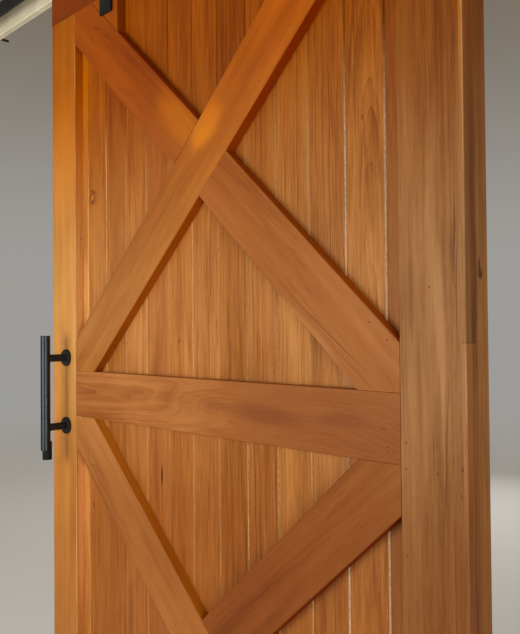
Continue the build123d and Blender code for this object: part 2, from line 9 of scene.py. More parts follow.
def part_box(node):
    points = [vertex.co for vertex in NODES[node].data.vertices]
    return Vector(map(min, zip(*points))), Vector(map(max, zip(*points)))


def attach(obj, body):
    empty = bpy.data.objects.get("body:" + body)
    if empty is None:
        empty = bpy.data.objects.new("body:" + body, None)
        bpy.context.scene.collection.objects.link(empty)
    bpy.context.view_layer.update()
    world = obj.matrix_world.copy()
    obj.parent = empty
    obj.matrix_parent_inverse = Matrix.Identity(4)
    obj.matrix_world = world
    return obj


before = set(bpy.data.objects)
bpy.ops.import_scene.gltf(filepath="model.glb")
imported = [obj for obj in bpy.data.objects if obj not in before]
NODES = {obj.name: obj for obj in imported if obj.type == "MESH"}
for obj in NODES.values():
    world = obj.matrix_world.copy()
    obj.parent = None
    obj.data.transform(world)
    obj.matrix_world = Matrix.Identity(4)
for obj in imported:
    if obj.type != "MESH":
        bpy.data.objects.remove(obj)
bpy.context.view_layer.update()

bl_info = {
    "name": "Sliding barn door looks",
    "version": (1, 0, 0),
    "blender": (4, 5, 0),
    "location": "3D View > Sidebar > Barn door",
    "description": "Varnished wood, painted metal and small fixings for a sliding barn door",
    "category": "Object",
}

# Places read from the CAD nodes at rest, in metres
LEAF_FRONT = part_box("stile_front_left")[0].y
RAIL_LOW, RAIL_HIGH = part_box("mid_rail_front")
STUB_TENON = 0.025  # how far each end of a rail goes into its stile
PANEL_WIDTH = RAIL_HIGH.x - RAIL_LOW.x - 2 * STUB_TENON
PANEL_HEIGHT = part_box("brace_upper_rising")[1].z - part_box("brace_upper_rising")[0].z
BRACE_LEAN = math.atan2(PANEL_WIDTH, PANEL_HEIGHT)
LEVEL = math.pi / 2  # the lean of a rail's grain
INNER_CORNER = (RAIL_LOW.x + STUB_TENON, LEAF_FRONT)
OUTER_CORNER = (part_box("edge_lipping_upper")[1].x, LEAF_FRONT)

# The camera, as it was fitted to the lines of the leaf
CAMERA_PLACE = Vector((1.6103, -0.9379, 1.2087))
CAMERA_RIGHT = Vector((0.71188, 0.70225, -0.00851))
CAMERA_UP = Vector((0.01785, -0.00597, 0.99982))
CAMERA_FORWARD = Vector((-0.70207, 0.71191, 0.01678))
SENSOR_WIDTH = 36

FLOOR_LEVEL = -0.0005
FLOOR_FADE = (2.5, 9.0)  # distances from the middle between which the floor fades out

# Lamps: place, target, width, height, colour, spread in degrees, and whether they are mirrored
WHITE = (1, 1, 1)
LAMPS = {
    "key": ((-0.25, -1.15, 1.25), (0.5, 0, 1.2), 1.5, 0.5, WHITE, 180, False),
    "glint": ((2.64, -1.15, 0.9), (0.71, -0.63, 0.95), 1.05, 0.85, WHITE, 40, True),
    "front": ((0.12, -2.5, 1.2), (0.2, 0, 1.15), 0.85, 1.5, (1, 0.98, 0.94), 180, True),
    "sheen": ((-1.26, -0.78, 1.45), (0.05, 0, 1.4), 0.5, 0.8, (1, 0.85, 0.6), 180, True),
    "fill": ((2.5, -1.35, 1.05), (0.1, 0, 0.85), 0.9, 1.2, WHITE, 50, False),
    "back": ((-1.4, 4, 2), (0.4, 0, 1.1), 2.4, 2, WHITE, 180, False),
}

# Heights above the floor between which the wood's colour changes, in metres
TOP_SHADE_HEIGHTS = (1.24, 1.84)  # from clear to painted shade, darker and redder at the top
LOW_SHADE_HEIGHTS = (1.13, 0.8)  # from clear to painted shade, darker at the bottom
HIGHLIGHT_HEIGHTS = (0.99, 1.11)  # from the lower strength of the painted edge highlight to the upper one
HIGHLIGHT_END = (1.52, 1.72)  # from the painted edge highlight to none

# Distances from a piece's edge or face between which the painted light and shade change, in metres
SEAM_BAND = (0.0031, 0.0018)  # from clear to the painted highlight, inside the right edge
SHADOW_BAND = (0.0016, 0.003)  # from dark to clear, inside the left edge
SIDE_BAND = (0.001, 0.003)  # from the face's colour to the painted light and shade of the side faces


# Settings


class BARNDOOR_PG_wood(bpy.types.PropertyGroup):
    """Sizes and colours of the varnished wood."""

    dark: FloatVectorProperty(
        name="Late wood", description="Colour of the dark lines in the grain",
        subtype="COLOR", min=0, max=1, default=(0.28, 0.085, 0.011),
    )
    middle: FloatVectorProperty(
        name="Ground", description="Colour of most of the wood",
        subtype="COLOR", min=0, max=1, default=(0.48, 0.183, 0.037),
    )
    light: FloatVectorProperty(
        name="Early wood", description="Colour of the palest streaks",
        subtype="COLOR", min=0, max=1, default=(0.64, 0.283, 0.076),
    )
    # Colour of the painted highlight on the boards' right edges
    seam: FloatVectorProperty(
        name="Rubbed edge", description="Colour of board edges where the varnish is thin",
        subtype="COLOR", min=0, max=1, default=(0.84, 0.57, 0.34),
    )
    # Painted shade towards the top of the wood
    top_shade: FloatVectorProperty(
        name="Deep varnish", description="What the colour is multiplied by at the top, where it is not faded",
        subtype="COLOR", min=0, max=1, default=(0.79, 0.46, 0.01),
    )
    # Painted shade towards the bottom of the wood
    foot: FloatVectorProperty(
        name="Worn varnish", description="What the colour is multiplied by near the floor",
        subtype="COLOR", min=0, max=1, default=(0.76, 0.63, 0.5),
    )
    ring: FloatProperty(
        name="Ring spacing", description="Distance from one growth ring to the next",
        subtype="DISTANCE", unit="LENGTH", min=0.001, max=0.02, default=0.0045,
    )
    roughness: FloatProperty(
        name="Varnish roughness", description="Roughness of the satin varnish",
        subtype="FACTOR", min=0.05, max=1, default=0.42,
    )
    gloss: FloatProperty(
        name="Varnish gloss", description="How strongly the varnish reflects",
        subtype="FACTOR", min=0, max=1, default=0.13,
    )


class BARNDOOR_PG_metal(bpy.types.PropertyGroup):
    """Colours of the metal, plastic and paint."""

    black: FloatVectorProperty(
        name="Black coat", description="Colour of the powder coat",
        subtype="COLOR", min=0, max=1, default=(0.011, 0.01, 0.01),
    )
    bar: FloatVectorProperty(
        name="Handle bar", description="Colour of the handle bar",
        subtype="COLOR", min=0, max=1, default=(0.04, 0.05, 0.055),
    )
    steel: FloatVectorProperty(
        name="Bearing steel", description="Colour of the bright bearing rings",
        subtype="COLOR", min=0, max=1, default=(0.6, 0.6, 0.61),
    )
    paint: FloatVectorProperty(
        name="Header paint", description="Colour of the header board's satin paint",
        subtype="COLOR", min=0, max=1, default=(0.93, 0.84, 0.6),
    )


class BARNDOOR_PG_fixings(bpy.types.PropertyGroup):
    """Sizes of the small fixings that are added to the model."""

    filler_radius: FloatProperty(
        name="Filler radius", description="Radius of a filled nail hole",
        subtype="DISTANCE", unit="LENGTH", min=0.0005, max=0.01, default=0.0016,
    )
    filler_height: FloatProperty(
        name="Filler height", description="How far the filler stands proud of the wood",
        subtype="DISTANCE", unit="LENGTH", min=0, max=0.001, default=0.00025,
    )
    thread_pitch: FloatProperty(
        name="Thread pitch", description="Distance from one turn of the wall bolts' thread to the next",
        subtype="DISTANCE", unit="LENGTH", min=0.001, max=0.01, default=0.0036,
    )
    thread_height: FloatProperty(
        name="Thread height", description="How far the thread stands out from the bolt's core",
        subtype="DISTANCE", unit="LENGTH", min=0.0002, max=0.002, default=0.0009,
    )
    thread_steps: IntProperty(
        name="Steps in a turn", description="Number of straight steps in one turn of the thread",
        min=8, max=64, default=20,
    )


class BARNDOOR_PG_stage(bpy.types.PropertyGroup):
    """Floor, backdrop, lamps and camera."""

    floor: FloatVectorProperty(
        name="Floor", description="Colour of the studio floor",
        subtype="COLOR", min=0, max=1, default=(0.72, 0.7, 0.67),
    )
    backdrop: FloatVectorProperty(
        name="Backdrop", description="Colour of the light all round",
        subtype="COLOR", min=0, max=1, default=(0.34, 0.33, 0.31),
    )
    ceiling: FloatVectorProperty(
        name="Ceiling", description="Colour of the light from above",
        subtype="COLOR", min=0, max=1, default=(0.19, 0.16, 0.12),
    )
    floor_radius: FloatProperty(
        name="Floor radius", description="Radius of the studio floor",
        subtype="DISTANCE", unit="LENGTH", min=2, max=100, default=40,
    )
    key: FloatProperty(
        name="Key lamp", description="Power of the soft lamp at the front left",
        unit="POWER", min=0, max=2000, default=4,
    )
    glint: FloatProperty(
        name="Glint lamp", description="Power of the gridded lamp at the right",
        unit="POWER", min=0, max=2000, default=1.5,
    )
    front: FloatProperty(
        name="Front lamp", description="Power of the large soft lamp in front of the handle",
        unit="POWER", min=0, max=2000, default=32,
    )
    sheen: FloatProperty(
        name="Sheen lamp", description="Power of the lamp at the left that is mirrored in the varnish",
        unit="POWER", min=0, max=2000, default=1,
    )
    fill: FloatProperty(
        name="Fill lamp", description="Power of the gridded lamp that fills the recesses from the right",
        unit="POWER", min=0, max=2000, default=1.5,
    )
    back: FloatProperty(
        name="Back lamp", description="Power of the wide soft lamp behind",
        unit="POWER", min=0, max=2000, default=40,
    )
    lens: FloatProperty(
        name="Lens", description="Focal length of the camera, for a 36 mm sensor",
        unit="CAMERA", min=10, max=200, default=39.748,
    )


def settings():
    """The settings of this scene."""
    return bpy.context.scene.barn_door


class BARNDOOR_PG_settings(bpy.types.PropertyGroup):
    """All the settings of the barn door."""

    wood: PointerProperty(type=BARNDOOR_PG_wood, name="Wood", description="Varnished wood")
    metal: PointerProperty(type=BARNDOOR_PG_metal, name="Metal", description="Metal, plastic and paint")
    fixings: PointerProperty(type=BARNDOOR_PG_fixings, name="Fixings", description="Small fixings")
    stage: PointerProperty(type=BARNDOOR_PG_stage, name="Stage", description="Floor, lamps and camera")


# Node trees


class Finish:
    """A material whose nodes are added one after the other."""

    def __init__(self, name):
        self.material = bpy.data.materials.new(name)
        self.material.use_nodes = True
        self.tree = self.material.node_tree
        self.tree.nodes.clear()
        self.surface = self.tree.nodes.new("ShaderNodeBsdfPrincipled")
        output = self.tree.nodes.new("ShaderNodeOutputMaterial")
        output.location = (300, 0)
        self.tree.links.new(self.surface.outputs["BSDF"], output.inputs["Surface"])
        self.place = self.node("ShaderNodeTexCoord", {}, "Object")

    def feed(self, socket, value):
        """Link a socket to another, or set its value, where a colour is three numbers."""
        if isinstance(value, bpy.types.NodeSocket):
            self.tree.links.new(value, socket)
        elif socket.type == "RGBA":
            socket.default_value = (*value, 1)
        else:
            socket.default_value = value

    def node(self, kind, inputs, output=0, **choices):
        """Add a node and return one of its outputs."""
        made = self.tree.nodes.new(kind)
        for name, choice in choices.items():
            setattr(made, name, choice)
        for name, value in inputs.items():
            self.feed(made.inputs[name], value)
        count = len(self.tree.nodes)
        made.location = (180 * (count % 12) - 2600, -240 * (count // 12))
        return made.outputs[output]

    def math(self, operation, *values, clamp=False):
        """A sum with numbers."""
        return self.node("ShaderNodeMath", dict(enumerate(values)), operation=operation, use_clamp=clamp)

    def times(self, *values, clamp=False):
        """The first number times the second, plus the third if there is one."""
        return self.math("MULTIPLY" if len(values) == 2 else "MULTIPLY_ADD", *values, clamp=clamp)

    def vector(self, operation, *values, output="Vector"):
        """A sum with vectors."""
        return self.node("ShaderNodeVectorMath", dict(enumerate(values)), output, operation=operation)

    def length(self, vector, axes):
        """Length of a vector along the axes that are marked with 1."""
        return self.vector("LENGTH", self.vector("MULTIPLY", vector, axes), output="Value")

    def away(self, value, middle):
        """How far a number lies from a middle."""
        return self.math("ABSOLUTE", self.math("ADD", value, -middle))

    def mapping(self, vector, kind="TEXTURE", **values):
        """Take a vector into a texture's own space, or move it as a point."""
        return self.node("ShaderNodeMapping", {"Vector": vector, **values}, vector_type=kind)

    def noise(self, vector, scale, detail=2, roughness=0.5, output="Fac"):
        """A noise of the given scale, per metre."""
        inputs = {"Vector": vector, "Scale": scale, "Detail": detail, "Roughness": roughness}
        return self.node("ShaderNodeTexNoise", inputs, output)

    def drawn(self, vector, stretch, *noise, output="Fac"):
        """A noise drawn out along Z, where it changes stretch times as fast as across."""
        return self.noise(self.vector("MULTIPLY", vector, (1, 1, stretch)), *noise, output=output)

    def noise_along(self, value, scale):
        """A noise that changes along one number only."""
        inputs = {"W": value, "Scale": scale, "Detail": 2}
        return self.node("ShaderNodeTexNoise", inputs, "Fac", noise_dimensions="1D")

    def between(self, value, low, high, to_low=0, to_high=1):
        """A soft step from to_low to to_high as the value goes from low to high."""
        inputs = {"Value": value, "From Min": low, "From Max": high, "To Min": to_low, "To Max": to_high}
        return self.node("ShaderNodeMapRange", inputs, interpolation_type="SMOOTHSTEP")

    def mix(self, factor, first, second, kind="MIX"):
        """A mix of two colours."""
        inputs = {0: factor, 6: first, 7: second}
        return self.node("ShaderNodeMix", inputs, 2, data_type="RGBA", blend_type=kind)

    def ramp(self, value, stops):
        """A colour ramp of (position, colour) stops."""
        ramp = self.node("ShaderNodeValToRGB", {"Fac": value}, "Color")
        elements = ramp.node.color_ramp.elements
        while len(elements) < len(stops):
            elements.new(0.5)
        for element, (position, colour) in zip(elements, stops):
            element.position = position
            element.color = (*colour, 1)
        return ramp

    def part(self, vector, axis):
        """One number of a vector."""
        return self.node("ShaderNodeSeparateXYZ", {0: vector}, axis)

    def bump(self, height, distance, strength=1, normal=None):
        """A bump, as a height in metres times the given distance."""
        inputs = {"Strength": strength, "Distance": distance, "Height": height}
        if normal is not None:
            inputs["Normal"] = normal
        return self.node("ShaderNodeBump", inputs, "Normal")

    def fade(self, factor):
        """Let the surface fade out to nothing as the factor goes to 1."""
        clear = self.node("ShaderNodeBsdfTransparent", {}, "BSDF")
        inputs = {0: factor, 1: self.surface.outputs["BSDF"], 2: clear}
        both = self.node("ShaderNodeMixShader", inputs, "Shader")
        output = self.tree.nodes["Material Output"]
        self.tree.links.new(both, output.inputs["Surface"])

    def show(self, **values):
        """Set the sockets of the surface shader."""
        for name, value in values.items():
            self.feed(self.surface.inputs[name.replace("_", " ")], value)
        return self.material


def toned(colour, share, lift=0):
    """A colour times a share, plus the same lift for red, green and blue."""
    return [min(1, c * share + lift) for c in colour]


def dress(material, *nodes):
    """Put one material on the whole of each CAD node."""
    for node in nodes:
        if not NODES[node].material_slots:
            raise RuntimeError(f"CAD node {node} has no material slot")
        for slot in NODES[node].material_slots:
            slot.material = material


# Wood

TAN = (0.8, 0.47, 0.19)
DARK_KNOT = (0.075, 0.022, 0.006)
GUM = (0.03, 0.01, 0.004)
RED_BROWN = (0.22, 0.06, 0.014)
SEASONED = (0.15, 0.055, 0.016)
AMBER = (0.84, 0.335, 0.026)
PALE = (0.8, 0.5, 0.3)
# Colour of the painted highlight along an upright corner
CORNER_HIGHLIGHT = (0.72, 0.4, 0.17)
TONGUE = 0.008  # how far a board's tongue stands past its right edge


def grain_point(x, z, middle, lean):
    """A place on the leaf as (across, along) the grain of a piece."""
    dx, dz = x - middle.x, z - middle.z
    return dx * math.cos(lean) - dz * math.sin(lean), dx * math.sin(lean) + dz * math.cos(lean)


def wood(node, seed, lean=0, tone=(1, 1, 1), ends=(1, 1), pith=(0.02, 0.09), tilt=(0.02, 0),
         figure=0.3, streaks=0.8, grain=0.8, marks=(), edge_marks=(), seam=None, shadow=0,
         lines=(), side_shading=None, arris=None):
    """Varnished wood, cut from a trunk whose growth rings run round a pith beside the piece.

    lean is the angle from upright to the grain, pith the place of the trunk's middle across
    and behind the piece, and tilt how far the trunk leans against the piece. ends are the
    tones at the two ends of the grain. figure, streaks and grain say how strong the rings,
    the wide streaks and the fine grain are. Each mark on the face is (x, z, half width, half
    length, turn in degrees, colour, strength), with the push on the rings round it as an
    eighth value if it has one, and each on the edge (y, z, half width, half length, colour,
    strength). seam says how strong the painted highlight on the right edge, inside
    the tongue, is below and above the mid rail, and shadow how dark the painted shadow in the
    joint at the left edge is. Each line is (axis, across, width, strength). side_shading is
    the painted light and shade that the colour is multiplied by behind the face, and arris the
    (x, y) of an upright corner that gets a painted highlight.
    """
    look = settings().wood
    low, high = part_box(node)
    middle = (low + high) / 2
    finish = Finish(f"wood_{node}")
    local = finish.mapping(finish.place, Location=middle, Rotation=(0, lean, 0))
    own = finish.vector("ADD", local, (seed * 3.17, seed * 1.71, seed * 0.83))

    # The grain wanders from side to side, in long waves and in short ones
    long_waves = finish.drawn(own, 0.22, 9, 2, output="Color")
    short_waves = finish.drawn(own, 0.3, 34, 1, output="Color")
    wander = finish.vector("MULTIPLY_ADD", short_waves, (0.3, 0.3, 0), long_waves)
    wander = finish.vector("MULTIPLY", finish.vector("SUBTRACT", wander, (0.65, 0.65, 0)), (0.018, 0.018, 0))
    bent = finish.vector("ADD", local, wander)

    masks, bulges = [], []
    for x, z, half_width, half_length, turn, colour, strength, *bulge in marks:
        across, along = grain_point(x, z, middle, lean)
        near = finish.mapping(
            bent, Location=(across, 0, along), Rotation=(0, math.radians(turn), 0),
            Scale=(half_width, 1, half_length),
        )
        far = finish.length(near, (1, 0, 1))
        masks.append((finish.between(far, 0.3, 1, strength, 0), colour))
        if bulge:
            bulges.append(finish.between(far, 0, 3.5, bulge[0], 0))
    for y, z, half_width, half_length, colour, strength in edge_marks:
        near = finish.mapping(finish.place, Location=(0, y, z), Scale=(1, half_width, half_length))
        far = finish.length(near, (0, 1, 1))
        masks.append((finish.between(far, 0.45, 1, strength, 0), colour))

    # Growth rings: each has its own tone, and a darker line that comes and goes at its outer side
    trunk = finish.mapping(bent, "POINT", Location=(-pith[0], -pith[1], 0), Rotation=(*tilt, 0))
    radius = finish.length(trunk, (1, 1, 0))
    for push in bulges:
        radius = finish.math("ADD", radius, push)
    rings = finish.math("DIVIDE", radius, look.ring)
    ring_tone = finish.noise_along(finish.math("ADD", rings, seed * 13.7), 0.9)
    uneven = finish.times(ring_tone, 2.6, rings)
    late = finish.math("POWER", finish.math("FRACT", uneven), 3)
    clear = finish.drawn(own, 0.14, 17, 2)
    late = finish.times(late, finish.between(clear, 0.36, 0.66))

    # Streaks, brushed grain, fine fibres and pores, all drawn out along the grain
    streak = finish.drawn(own, 0.06, 34, 3, 0.6)
    brushed = finish.drawn(own, 0.055, 150, 3, 0.6)
    fibre = finish.drawn(own, 0.03, 520, 3, 0.65)
    cloud = finish.drawn(own, 0.3, 9, 4, 0.6)
    pores = finish.between(finish.drawn(own, 0.03, 1500, 1), 0.6, 0.72)

    paleness = finish.times(ring_tone, figure, 0.5 - figure / 2)
    paleness = finish.times(late, -0.9 * figure, paleness)
    for pattern, share in ((streak, streaks), (brushed, 0.38 * grain), (fibre, 0.56 * grain), (cloud, 0.75)):
        paleness = finish.times(finish.math("ADD", pattern, -0.5), share, paleness)
    paleness = finish.times(pores, -0.1, paleness, clamp=True)
    stops = ((0.12, look.dark), (0.5, look.middle), (0.92, look.light))
    stops = [(stop, [c * t for c, t in zip(shade, tone)]) for stop, shade in stops]
    colour = finish.ramp(paleness, stops)

    # Single dark lines that follow the grain for most of the piece's length
    for axis, across, width, strength in lines:
        off_line = finish.away(finish.part(bent, axis), across)
        strong = finish.between(off_line, width * 0.3, width, strength, 0)
        strong = finish.times(strong, finish.between(clear, 0.3, 0.6))
        colour = finish.mix(strong, colour, toned(look.dark, 0.6))
    for mask, shade in masks:
        colour = finish.mix(mask, colour, shade)

    height = finish.part(finish.place, "Z")
    # Painted shade: the colour is darker and redder towards the top, and darker towards the bottom
    colour = finish.mix(finish.between(height, *TOP_SHADE_HEIGHTS), colour, look.top_shade, "MULTIPLY")
    colour = finish.mix(finish.between(height, *LOW_SHADE_HEIGHTS), colour, look.foot, "MULTIPLY")
    # Dirt in the joints, a painted highlight on each board's right edge, a painted shadow at its left edge,
    # painted light and shade on the side faces, and a painted highlight along upright corners
    half = (high.x - low.x) / 2
    if seam is not None:
        inner, outer = (half - TONGUE - width for width in SEAM_BAND)
        at_edge = finish.between(finish.part(local, "X"), inner, outer)
        patchy = finish.drawn(own, 0.5, 260, 3, 0.7)
        colour = finish.mix(finish.times(at_edge, 0.15), colour, toned(look.dark, 0.8))
        # Painted highlight on the bevel at the board's right edge, patchy and set by height
        wear_and_glint = finish.times(at_edge, finish.between(patchy, 0.38, 0.58, 0.55, 1))
        wear_and_glint = finish.times(wear_and_glint, finish.between(height, *HIGHLIGHT_HEIGHTS, *seam))
        wear_and_glint = finish.times(wear_and_glint, finish.between(height, *HIGHLIGHT_END, 1, 0))
        highlight_paleness = min(1, max(0, (max(seam) - 0.7) / 0.2))
        shade = [t + highlight_paleness * (c - t) for t, c in zip(TAN, look.seam)]
        colour = finish.mix(wear_and_glint, colour, shade)
    if shadow:
        outer, inner = (width - half for width in SHADOW_BAND)
        at_edge = finish.between(finish.part(local, "X"), outer, inner, shadow, 0)
        colour = finish.mix(at_edge, colour, toned(look.dark, 0.45))
    # Painted light and shade on the side faces behind the front face
    if side_shading is not None:
        front, back = (low.y + depth for depth in SIDE_BAND)
        depth = finish.between(finish.part(finish.place, "Y"), front, back)
        colour = finish.mix(depth, colour, side_shading, "MULTIPLY")
    # Painted highlight along an upright corner
    if arris is not None:
        off_corner = finish.length(finish.vector("SUBTRACT", finish.place, (*arris, 0)), (1, 1, 0))
        patchy = finish.between(finish.drawn(own, 0.3, 22, 3), 0.4, 0.6, 0.15, 0.65)
        rubbed_and_highlight = finish.times(finish.between(off_corner, 0.0012, 0.0022, 1, 0), patchy)
        colour = finish.mix(rubbed_and_highlight, colour, CORNER_HIGHLIGHT)
    if ends != (1, 1):
        reach = 0.4 * (math.hypot(high.x - low.x, high.z - low.z) if lean else high.z - low.z)
        shade = finish.between(finish.part(local, "Z"), -reach, reach, *ends)
        colour = finish.node("ShaderNodeVectorMath", {0: colour, "Scale": shade}, "Vector", operation="SCALE")

    roughness = finish.times(finish.math("ADD", fibre, -0.5), 0.25, look.roughness)
    relief = finish.times(late, -0.5, finish.times(pores, -1.2, fibre))
    wavy = finish.bump(finish.drawn(own, 0.35, 22, 2), 0.0011, 0.5)
    return finish.show(
        Base_Color=colour, Roughness=roughness, Normal=finish.bump(relief, 0.00018, 0.6, wavy),
        Specular_IOR_Level=look.gloss,
    )


def varnish(pieces, first_seed, **shared):
    """Dress CAD nodes in wood, each with its own seed and look, and shared values for the rest."""
    for seed, (node, look) in enumerate(pieces.items(), first_seed):
        dress(wood(node, seed, **{**shared, **look}), node)


# Each board from the left: its tone, how strong the painted highlight on its right edge is, and its marks
BOARDS = (
    # The first board is much paler: painted light on its narrow strip in the recess beside the stile
    {"tone": (1.49, 1.82, 2.45), "seam": (0.26, 0.55)},
    {
        "tone": (0.97, 0.96, 0.91), "seam": (0.18, 0.62),
        "marks": (
            (0.126, 1.532, 0.024, 0.024, 0, RED_BROWN, 0.6, 0.022),
            (0.125, 1.531, 0.009, 0.008, 0, AMBER, 0.55),
            (0.128, 1.546, 0.018, 0.006, 24, SEASONED, 0.6),
            (0.1265, 1.519, 0.016, 0.006, -18, SEASONED, 0.6),
            # A painted highlight: a pale line up the right edge, above where the edge highlight fades
            (0.1864, 1.61, 0.0022, 0.115, 0, (0.86, 0.5, 0.3), 0.85),
            (0.128, 0.786, 0.0035, 0.011, -6, DARK_KNOT, 0.8, 0.008),
        ),
    },
    {
        "tone": (0.9, 0.84, 0.74), "seam": (0.24, 0.52),
        "marks": ((0.228, 1.54, 0.06, 0.18, 0, (0.34, 0.115, 0.014), 0.35),),
    },
    {"tone": (1.02, 1.02, 1.12), "seam": (0.34, 0.6)},
    {
        "tone": (0.94, 0.87, 0.9), "seam": (0.2, 0.43),
        "marks": (
            (0.3936, 0.895, 0.0042, 0.032, 0.5, GUM, 0.95),
            (0.395, 0.86, 0.0024, 0.022, -3, RED_BROWN, 0.7),
        ),
    },
    {
        "tone": (0.99, 0.94, 0.88), "seam": (0.34, 0.62),
        "marks": ((0.461, 1.185, 0.004, 0.007, 20, DARK_KNOT, 0.6, 0.003),),
    },
    {"tone": (0.96, 0.94, 0.93), "seam": (0.32, 0.47)},
    {"tone": (0.86, 0.8, 0.65), "seam": (0.6, 0.47)},
    {
        "tone": (0.93, 0.89, 0.88), "seam": (0.6, 0.47), "shadow": 0.45,
        "marks": ((0.781, 1.53, 0.07, 0.24, 0, (0.78, 0.39, 0.1), 0.55),),
    },
    {
        "tone": (1.04, 1.09, 1.18), "seam": (0.6, 0.47), "shadow": 0.45,
        "marks": ((0.86, 1.56, 0.07, 0.26, 0, (0.86, 0.5, 0.17), 0.62),),
    },
    {"tone": (0.98, 1, 1.18), "seam": (0.92, 0.95), "shadow": 0.4},
    {
        "tone": (1.09, 1.18, 1.42), "seam": (1, 1), "figure": 0.34, "pith": (0.004, 0.034),
        "tilt": (0.045, 0), "shadow": 0.7,
        "marks": ((0.9329, 1.552, 0.003, 0.006, 0, DARK_KNOT, 0.5, 0.012),),
    },
    {
        "tone": (0.78, 0.73, 0.76), "shadow": 0.6,
        "marks": ((0.997, 0.78, 0.05, 0.24, 0, (0.62, 0.3, 0.1), 0.28),),
    },
)


class BARNDOOR_OT_boards(bpy.types.Operator):
    """Varnish the tongue and groove boards, each from its own trunk."""

    bl_idname = "barndoor.boards"
    bl_label = "Boards"

    def execute(self, context):
        draws = np.random.default_rng(11)
        pieces = {}
        for number, own in enumerate(BOARDS, 1):
            side = 1 if draws.random() < 0.5 else -1
            cracks = [
                ("X", draws.uniform(-0.032, 0.024), draws.uniform(0.0008, 0.0014), draws.uniform(0.30, 0.65))
                for _ in range(3)
            ]
            pieces[f"board_{number:02}"] = {
                "lines": cracks, "pith": (side * draws.uniform(0.03, 0.16), draws.uniform(0.03, 0.12)),
                "tilt": (draws.uniform(-0.012, 0.012), draws.uniform(-0.010, 0.010)),
                "figure": draws.uniform(0.22, 0.36), **own,
            }
        varnish(pieces, 2, grain=1.35, streaks=0.65)
        return {"FINISHED"}


# Marks on the right stile, then the looks of the stiles and the lipping
STILE_MARKS = (
    (1.108, 1.335, 0.0024, 0.085, 0.5, SEASONED, 0.85),
    (1.1118, 1.265, 0.0018, 0.11, 0.5, SEASONED, 0.75),
    (1.1045, 1.32, 0.0016, 0.06, -1, SEASONED, 0.7),
    (1.086, 1.21, 0.011, 0.17, -2, (0.66, 0.33, 0.12), 0.4),
    (1.056, 1.04, 0.01, 0.12, 1, (0.6, 0.28, 0.09), 0.3),
    (1.038, 1.26, 0.008, 0.09, 0, RED_BROWN, 0.25),
    (1.092, 1.01, 0.0022, 0.15, 3.2, RED_BROWN, 0.75),
    (1.1163, 1.0072, 0.0024, 0.006, 0, DARK_KNOT, 0.6),
    (1.1142, 0.9689, 0.002, 0.005, 0, DARK_KNOT, 0.5),
    (1.0765, 0.996, 0.0022, 0.004, 0, DARK_KNOT, 0.6),
    (1.082, 1.7, 0.005, 0.12, -1, RED_BROWN, 0.4),
    (1.071, 1.56, 0.004, 0.05, 1, RED_BROWN, 0.45),
    (1.049, 1.12, 0.006, 0.16, -1, RED_BROWN, 0.35),
)
STILES = {
    "stile_front_left": {
        "tone": (1.22, 1.39, 1.4), "ends": (1.04, 0.97), "side_shading": (1.27, 1.3, 1.75), "pith": (0.16, 0.05),
        "tilt": (0.004, 0), "figure": 0.14, "streaks": 0.55, "grain": 0.4, "arris": INNER_CORNER,
        "edge_marks": (
            # The first edge mark is a painted pool of light on the lower part of the stile's side faces
            (-0.0205, 0.77, 0.0125, 0.29, (0.98, 0.52, 0.16), 0.42),
            (-0.0186, 1.4341, 0.0018, 0.003, DARK_KNOT, 0.8),
            (-0.019, 1.433, 0.0012, 0.06, RED_BROWN, 0.4),
        ),
        "marks": ((0.03, 1.64, 0.09, 0.22, 0, (0.92, 0.44, 0.09), 0.4),),
    },
    "stile_front_right": {
        # The raised blue in the tone is partly a painted pale sheen
        "tone": (0.81, 0.86, 1.15), "ends": (0.84, 0.97), "pith": (-0.22, 0.08),
        "figure": 0.3, "tilt": (0.004, 0.003), "streaks": 1.3, "marks": STILE_MARKS,
    },
    "stile_back_left": {"tone": (1.02, 1, 1), "pith": (0.03, -0.1)},
    "stile_back_right": {
        "tone": (1.05, 1.13, 1.28), "ends": (1.08, 1.02), "pith": (0.12, -0.06),
        "edge_marks": (
            (0.0103, 1.287, 0.0095, 0.011, RED_BROWN, 1),
            (0.008, 1.298, 0.0045, 0.016, RED_BROWN, 1),
            (0.0115, 1.284, 0.0045, 0.007, DARK_KNOT, 0.6),
        ),
    },
    "edge_lipping_upper": {
        "tone": (0.83, 0.87, 1.12), "pith": (0.05, 0.03), "figure": 0.5, "streaks": 1.4,
        "lines": (("Y", 0.002, 0.005, 0.9), ("Y", 0.008, 0.0028, 0.85), ("Y", -0.008, 0.0018, 0.6)),
        # The upper end is paler: painted light at the top, where the edge stands in shade
        "arris": OUTER_CORNER, "ends": (0.8, 1.9), "side_shading": (1.1, 0.98, 0.75),
        "marks": ((1.122, 1.72, 0.02, 0.42, 0, (0.6, 0.32, 0.13), 0.3),),
    },
    "edge_lipping_lower": {
        "tone": (0.84, 0.89, 1.15), "ends": (1.1, 0.95), "side_shading": (1.05, 0.88, 0.64),
        "pith": (0.06, 0.02), "figure": 0.5, "streaks": 1.2, "arris": OUTER_CORNER,
        "lines": (("Y", 0.004, 0.004, 0.7), ("Y", -0.006, 0.002, 0.6)),
    },
}


class BARNDOOR_OT_stiles(bpy.types.Operator):
    """Varnish the stiles and the lipping, with the grain upright."""

    bl_idname = "barndoor.stiles"
    bl_label = "Stiles and lipping"

    def execute(self, context):
        varnish(STILES, 21)
        return {"FINISHED"}


